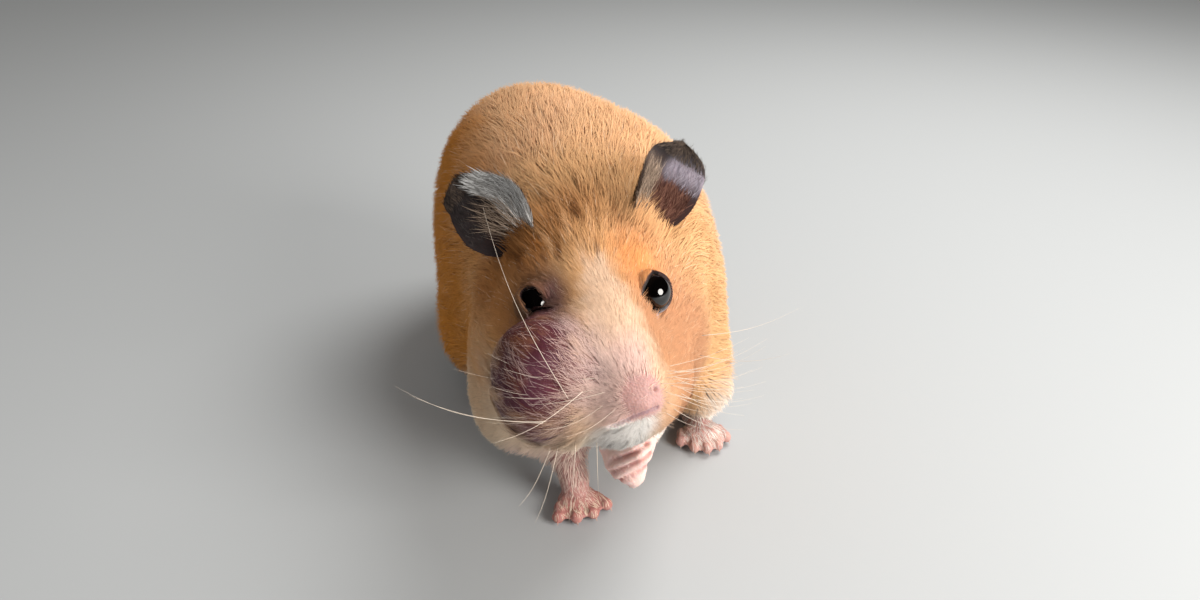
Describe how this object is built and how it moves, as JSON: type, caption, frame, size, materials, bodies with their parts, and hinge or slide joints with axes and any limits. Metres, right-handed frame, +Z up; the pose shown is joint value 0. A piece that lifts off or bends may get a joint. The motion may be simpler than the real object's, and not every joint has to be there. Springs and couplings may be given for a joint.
{
  "type": "syrian hamster",
  "caption": "Life-size still model of a golden Syrian hamster, walking with a forepaw lifted and head turned, one cheek swollen and bare.",
  "frame": {"origin": "on the floor, below the middle of the bounding box", "axes": "+Z up; the nose points towards -Y and the rump is at +Y; the animal's left side is +X"},
  "size_m": [0.0614, 0.1174, 0.0608],
  "materials": {
    "coat_fur": "soft matt fur, orange-brown above, cream below",
    "swelling_skin": "taut dull skin, maroon to purple-grey, sparsely haired",
    "bare_skin": "dull pink skin, moist at the nose",
    "ear_skin": "thin dark skin with fine down",
    "eye": "wet black gloss"
  },
  "bodies": {
    "root": {"head": "coat_fur", "neck": "coat_fur", "trunk": "coat_fur", "swelling": "swelling_skin", "nose": "bare_skin", "eye_left": "eye", "eye_right": "eye", "ear_left": "ear_skin", "ear_right": "ear_skin", "foreleg_left": "coat_fur", "foreleg_right": "coat_fur", "forefoot_left": "bare_skin", "forefoot_right": "bare_skin", "hindleg_left": "coat_fur", "hindleg_right": "coat_fur", "hindfoot_left": "bare_skin", "hindfoot_right": "bare_skin", "tail": "bare_skin"}
  },
  "joints": []
}
